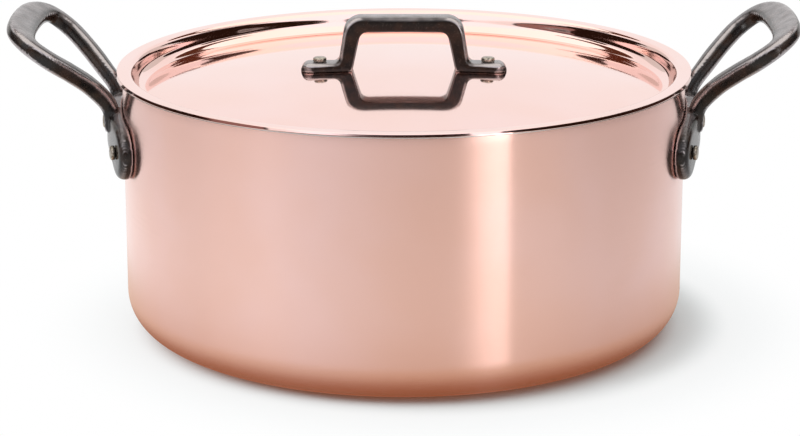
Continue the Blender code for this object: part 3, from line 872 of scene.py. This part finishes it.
swing = handle["lobeSpan"] / plateMiddle
waistSeat = handle["back"] + handle["waistThick"] + bridge["gap"]
lobeSeat = handle["back"] + float(plateThick(handle["lobeSpan"] - rivet["button"])) + bridge["gap"]
lobeHeight = handle["height"] - handle["lobeDrop"]
headSeat = math.sqrt((mouth - rivet["headClear"]) ** 2 - rivet["head"] ** 2)
rivetPieces = {}
for side, halfTurn in (("right", 0.0), ("left", math.pi)):
    for spot, turn, seat, height in (
        ("centre", 0.0, waistSeat, handle["height"]),
        ("front", -swing, lobeSeat, lobeHeight),
        ("back", swing, lobeSeat, lobeHeight),
    ):
        section = rivetSection(rivet["shank"], rivet["button"], rivet["head"], seat - headSeat)
        rivetPieces["handle_rivet_" + side + "_" + spot] = turnedPiece(
            "handleRivet" + side.title() + spot.title(),
            section,
            rivet["turns"],
            rivetSteel,
            radialPlace(turn + halfTurn, seat, height),
        )
lidTop = float(overDome(0)) + bridge["gap"] + bridge["foot"] + bridge["gap"]
lidHeadSeat = float(underDome(lidRivet["spacing"] / 2 + lidRivet["head"])) - 2 * bridge["gap"]
for side, x in (("left", -lidRivet["spacing"] / 2), ("right", lidRivet["spacing"] / 2)):
    section = rivetSection(lidRivet["shank"], lidRivet["button"], lidRivet["head"], lidTop - lidHeadSeat)
    rivetPieces["lid_rivet_" + side] = turnedPiece(
        "lidRivet" + side.title(), section, rivet["turns"], rivetSteel, (np.eye(3), (x, 0, lidTop))
    )
print("rivets made")

# what each piece rides on, the part it stands for, and its finish's slot
for piece, body, node, slot in (
    (potShell, "pot", "pot_shell", "polished_copper"),
    (potLining, "pot", "pot_lining", "steel_lining"),
    (sideHandles["sideHandleLeft"], "pot", "side_handle_left", "cast_iron"),
    (sideHandles["sideHandleRight"], "pot", "side_handle_right", "cast_iron"),
    (lidShell, "lid", "lid_shell", "polished_copper"),
    (lidLining, "lid", "lid_lining", "steel_lining"),
    (lidHandle, "lid", "lid_handle", "cast_iron"),
):
    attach(piece, body)
    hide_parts(node)
for node, piece in rivetPieces.items():
    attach(piece, "lid" if node.startswith("lid") else "pot")
    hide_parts(node)
print("pieces placed")

studio = {
    "white": "#FFFFFF",
    "table": "#E3EEF0",  # a little cool, against the rosy light that the copper throws on it
    "tableRoughness": 0.8,
    "tableSpecular": 0.2,
    "tableHalf": 6.0,
    "shadowCentre": (14 * mm, 0, 0),
    # the camera sees the shading fade towards white between the first two distances, and the rest of it
    # between the others
    "shadowReach": ((0.132, 0.156), (0.15, 0.21)),
    "shadowLeft": 0.28,
    # what the metal sees of the table, a painted shadow, dark and copper-brown at the pot: each tone gives
    # way to the next between two distances from the axis
    "tableTones": (
        {"tone": "#97694F"},
        {"tone": "#CBB6A4", "from": 0.134, "to": 0.162},
        {"tone": "#ECEEEF", "from": 0.16, "to": 0.25},
        {"tone": "#D7D4D3", "from": 0.32, "to": 0.62},
    ),
    # painted light: the metal sees the table brighter towards this side and duller away from it
    "brightSide": -115,
    "brightSwing": {"To Min": 1.04, "To Max": 1.28},  # those tones' strength on the dull and the bright side
    # painted warm light: the metal sees the table tinted warm towards this side
    "warmSide": 20,
    "warmTone": "#FCF5EC",
    "warmReach": (50, 5),  # degrees from the warm side where the warmth starts and is full
    "roomLevel": 0.3,
    "glowLean": 0.25,
    "glowEdge": {"From Min": 0.32, "From Max": 0.38},
    "glowTones": ("#F4F3EC", "#EEEEF3"),  # overhead, and low in front
    "glowLevel": 1.5,
    "frontLean": 0.5,
    "frontEdge": {"From Min": 0.1, "From Max": 0.4},
    # azimuth is measured from the camera's side towards +X, both in degrees. A card's row gives its name,
    # azimuth and rise from start to end, height, the power by which it widens, distance and tone
    # glowing sheets seen only in the metal: painted reflections of a dark or pale studio
    "cards": (
        ("cardRight", (34, 135), (11.5, 15.5), 20, 0.5, 1.9, "#26160F"),
        ("cardRightHigh", (62, 112), (22, 30), 9, 0.4, 1.9, "#3A241B"),
        ("cardRightFrame", (84, 172), (41, 40), 11, 0.4, 1.9, "#5A3424"),
        ("cardRightFade", (118, 160), (14, 14), 26, 0.4, 1.95, "#DCDCD9"),
        ("cardRightLow", (44, 136), (8, 1), 9, 0.4, 1.9, "#33211A"),
        ("cardLeft", (-50, -135), (10.5, 15.5), 20, 0.5, 1.9, "#26160F"),
        ("cardLeftPale", (-53, -84), (11.5, 11.5), 6, 0.4, 1.88, "#93706B"),
        ("cardLeftHigh", (-84, -112), (22, 30), 9, 0.4, 1.9, "#3A241B"),
        ("cardLeftFrame", (-84, -172), (41, 40), 11, 0.4, 1.9, "#5A3424"),
        ("cardLeftFade", (-118, -160), (14, 14), 26, 0.4, 1.95, "#DCDCD9"),
        ("cardLeftLow", (-50, -140), (9, 2), 9, 0.4, 1.92, "#33211A"),
        ("cardFront", (-52, 28), (7, 9), 18, 0.4, 1.9, "#2A1B17"),
    ),
    "cardGrid": (65, 9),
    "cardEnds": (0.001, 0.999),
    "cardEndPower": 8,
    # a glowing strip seen only in the metal: a painted highlight on the wall
    "strip": {"azimuth": (18, 40), "full": 38, "rise": (-8, 12), "grid": (25, 13), "far": 1.7, "level": 4.3},
    "lamps": (
        {"name": "overhead", "azimuth": 180, "rise": 84, "far": 1.6, "size": (3.2, 3.2), "watts": 46},
        {"name": "sideLeft", "azimuth": -70, "rise": 38, "far": 1.8, "size": (1.2, 1.0), "watts": 8},
    ),
}


def aim(azimuth, rise):
    # unit vectors from the pot towards places in the studio
    a, e = np.radians(azimuth), np.radians(rise)
    return np.stack([np.sin(a) * np.cos(e), -np.cos(a) * np.cos(e), np.sin(e)], -1)


def softbox(spec):
    data = bpy.data.lights.new(spec["name"], "AREA")
    data.shape = "RECTANGLE"
    data.size, data.size_y = spec["size"]
    data.energy = spec["watts"]
    lamp = bpy.data.objects.new(spec["name"], data)
    lamp.location = aim(spec["azimuth"], spec["rise"]) * spec["far"]
    lamp.rotation_euler = (math.radians(90 - spec["rise"]), 0, math.radians(spec["azimuth"]))
    lamp.visible_camera = False
    lamp.visible_glossy = False  # the room's own glow stands for it in the metal
    bpy.context.scene.collection.objects.link(lamp)


def onlyMirrored(obj):
    # seen in the metal, and nowhere else
    obj.visible_camera = False
    obj.visible_diffuse = False
    obj.visible_shadow = False


def studioCard(name, azimuth, rise, tall, taper, far, tone):
    # part of a sphere about the pot, pointed where it starts and rounded where it ends: its middle is a
    # straight line of azimuth and rise, and its height goes as u to the taper times the root of 1 - u^8
    rows, columns = studio["cardGrid"]
    u, v = np.meshgrid(np.linspace(*studio["cardEnds"], rows), np.linspace(-0.5, 0.5, columns), indexing="ij")
    middle = rise[0] + (rise[1] - rise[0]) * u
    height = middle + tall * u**taper * np.sqrt(1 - u ** studio["cardEndPower"]) * v
    points = far * aim(azimuth[0] + (azimuth[1] - azimuth[0]) * u, height)
    # a glowing sheet of one tone, seen only in the metal: a painted reflection, so the copper shows it as a
    # plain flat shape
    material, tree, _ = startMaterial(name + "MirroredGlow")
    glow = addNode(tree, "ShaderNodeEmission", None, {"Color": toLinear(tone), "Strength": 1.0})
    tree.links.new(glow.outputs[0], tree.nodes["Material Output"].inputs["Surface"])
    onlyMirrored(buildMesh(name, points.reshape(-1, 3), gridFaces(rows, columns).tolist(), material))


def stripLight(spec):
    # a tall part of a sphere about the pot, glowing more and more towards its right edge
    rows, columns = spec["grid"]
    a, e = np.meshgrid(
        np.linspace(*spec["azimuth"], rows), np.linspace(*spec["rise"], columns), indexing="ij"
    )
    points = spec["far"] * aim(a, e)
    # a glow seen only in the metal, a painted highlight there: brightest towards one side, so it has one soft
    # edge
    material, tree, _ = startMaterial("stripHighlightGlow")
    where = addNode(tree, "ShaderNodeTexCoord").outputs["Object"]
    parts = addNode(tree, "ShaderNodeSeparateXYZ", None, {"Vector": where})
    depth = addNode(tree, "ShaderNodeMath", {"operation": "MULTIPLY"}, {0: parts.outputs["Y"], 1: -1.0})
    azimuth = addNode(
        tree, "ShaderNodeMath", {"operation": "ARCTAN2"}, {0: parts.outputs["X"], 1: depth.outputs[0]}
    )
    glow = addNode(
        tree,
        "ShaderNodeMapRange",
        softStep,
        {
            "Value": azimuth.outputs[0],
            "From Min": math.radians(spec["azimuth"][0]),
            "From Max": math.radians(spec["full"]),
            "To Min": 0.0,
            "To Max": spec["level"],
        },
    )
    light = addNode(tree, "ShaderNodeEmission", None, {"Strength": glow.outputs["Result"]})
    clear = addNode(tree, "ShaderNodeBsdfTransparent")
    both = addNode(tree, "ShaderNodeAddShader", None, {0: light.outputs[0], 1: clear.outputs[0]})
    tree.links.new(both.outputs[0], tree.nodes["Material Output"].inputs["Surface"])
    onlyMirrored(buildMesh("stripLight", points.reshape(-1, 3), gridFaces(rows, columns).tolist(), material))


def tableFinish():
    # laminate: pressed, matt and white. The camera sees its shading near the pot and white beyond, and the
    # metal sees a painted shadow darken it towards the pot, as a table does beside a tall thing that keeps
    # the light off, and painted light make it brighter and warmer to two sides
    material, tree, shader = startMaterial("whiteLaminate")
    shader.inputs["Base Color"].default_value = toLinear(studio["table"])
    shader.inputs["Roughness"].default_value = studio["tableRoughness"]
    shader.inputs["Specular IOR Level"].default_value = studio["tableSpecular"]
    rays = addNode(tree, "ShaderNodeLightPath")
    spot = addNode(tree, "ShaderNodeTexCoord").outputs["Object"]
    shifted = addNode(
        tree, "ShaderNodeVectorMath", {"operation": "DISTANCE"}, {0: spot, 1: studio["shadowCentre"]}
    )
    fades = [
        addNode(
            tree,
            "ShaderNodeMapRange",
            softStep,
            {"Value": shifted.outputs["Value"], "From Min": near, "From Max": far, "To Max": part},
        )
        for (near, far), part in zip(studio["shadowReach"], (1 - studio["shadowLeft"], studio["shadowLeft"]))
    ]
    bare = addNode(
        tree, "ShaderNodeMath", {"operation": "ADD"}, {0: fades[0].outputs[0], 1: fades[1].outputs[0]}
    )
    share = addNode(
        tree,
        "ShaderNodeMath",
        {"operation": "MULTIPLY"},
        {0: bare.outputs[0], 1: rays.outputs["Is Camera Ray"]},
    )
    white = addNode(tree, "ShaderNodeEmission", None, {"Color": toLinear(studio["white"]), "Strength": 1.0})
    looked = addNode(
        tree, "ShaderNodeMixShader", None, {0: share.outputs[0], 1: shader.outputs[0], 2: white.outputs[0]}
    )
    away = addNode(tree, "ShaderNodeVectorMath", {"operation": "LENGTH"}, {0: spot})
    tone = toLinear(studio["tableTones"][0]["tone"])
    for ring in studio["tableTones"][1:]:
        reached = addNode(
            tree,
            "ShaderNodeMapRange",
            softStep,
            {"Value": away.outputs["Value"], "From Min": ring["from"], "From Max": ring["to"]},
        )
        mixed = addNode(
            tree,
            "ShaderNodeMix",
            colourMix,
            {mixShare: reached.outputs["Result"], colourFrom: tone, colourTo: toLinear(ring["tone"])},
        )
        tone = mixed.outputs[mixedColour]
    heading = addNode(tree, "ShaderNodeVectorMath", {"operation": "NORMALIZE"}, {0: spot}).outputs[0]
    brightwards, warmwards = (
        addNode(
            tree,
            "ShaderNodeVectorMath",
            {"operation": "DOT_PRODUCT"},
            {0: heading, 1: aim(side, 0).tolist()},
        ).outputs["Value"]
        for side in (studio["brightSide"], studio["warmSide"])
    )
    swing = addNode(
        tree,
        "ShaderNodeMapRange",
        None,
        {"Value": brightwards, "From Min": -1.0, "From Max": 1.0, **studio["brightSwing"]},
    )
    start, full = (math.cos(math.radians(angle)) for angle in studio["warmReach"])
    warmth = addNode(
        tree, "ShaderNodeMapRange", softStep, {"Value": warmwards, "From Min": start, "From Max": full}
    )
    tinted = addNode(
        tree,
        "ShaderNodeMix",
        {**colourMix, "blend_type": "MULTIPLY"},
        {mixShare: warmth.outputs["Result"], colourFrom: tone, colourTo: toLinear(studio["warmTone"])},
    )
    mirrored = addNode(
        tree,
        "ShaderNodeEmission",
        None,
        {"Color": tinted.outputs[mixedColour], "Strength": swing.outputs["Result"]},
    )
    surface = addNode(
        tree,
        "ShaderNodeMixShader",
        None,
        {0: rays.outputs["Is Glossy Ray"], 1: looked.outputs[0], 2: mirrored.outputs[0]},
    )
    tree.links.new(surface.outputs[0], tree.nodes["Material Output"].inputs["Surface"])
    return material


def roomWorld():
    # a white room for what the camera and the metal see, at a lower level as a source of light. The metal
    # sees a brighter glow overhead, which comes down lower in front of the pot than behind it
    world = bpy.data.worlds.new("whiteRoom")
    world.use_nodes = True
    tree = world.node_tree
    tree.nodes.clear()
    path = addNode(tree, "ShaderNodeLightPath")
    where = addNode(tree, "ShaderNodeTexCoord").outputs["Generated"]
    upwards, ahead = (
        addNode(tree, "ShaderNodeVectorMath", {"operation": "DOT_PRODUCT"}, {0: where, 1: way})
        for way in ((0, -studio["glowLean"], 1), (0, -1, -studio["frontLean"]))
    )
    high = addNode(
        tree, "ShaderNodeMapRange", softStep, {"Value": upwards.outputs["Value"], **studio["glowEdge"]}
    )
    front = addNode(
        tree, "ShaderNodeMapRange", softStep, {"Value": ahead.outputs["Value"], **studio["frontEdge"]}
    )
    topTone, frontTone = (toLinear(tone) for tone in studio["glowTones"])
    glow = addNode(
        tree,
        "ShaderNodeMix",
        colourMix,
        {mixShare: front.outputs[0], colourFrom: topTone, colourTo: frontTone},
    )
    glossy = path.outputs["Is Glossy Ray"]
    lit = addNode(tree, "ShaderNodeMath", {"operation": "MULTIPLY"}, {0: high.outputs[0], 1: glossy})
    tone = addNode(
        tree,
        "ShaderNodeMix",
        colourMix,
        {
            mixShare: lit.outputs[0],
            colourFrom: toLinear(studio["white"]),
            colourTo: glow.outputs[mixedColour],
        },
    )
    seen = addNode(
        tree, "ShaderNodeMath", {"operation": "MAXIMUM"}, {0: glossy, 1: path.outputs["Is Camera Ray"]}
    )
    base = addNode(
        tree, "ShaderNodeMath", {"operation": "MAXIMUM"}, {0: seen.outputs[0], 1: studio["roomLevel"]}
    )
    level = addNode(
        tree,
        "ShaderNodeMix",
        valueMix,
        {mixShare: lit.outputs[0], valueFrom: base.outputs[0], valueTo: studio["glowLevel"]},
    )
    background = addNode(
        tree, "ShaderNodeBackground", None, {"Color": tone.outputs[mixedColour], "Strength": level.outputs[0]}
    )
    addNode(tree, "ShaderNodeOutputWorld", None, {"Surface": background.outputs[0]})
    bpy.context.scene.world = world


tableCorners = studio["tableHalf"] * np.array([[-1, -1, 0], [1, -1, 0], [1, 1, 0], [-1, 1, 0]])
buildMesh("table", tableCorners, [[0, 1, 2, 3]], tableFinish())
for card in studio["cards"]:
    studioCard(*card)
stripLight(studio["strip"])
for spec in studio["lamps"]:
    softbox(spec)
roomWorld()
print("studio lit")
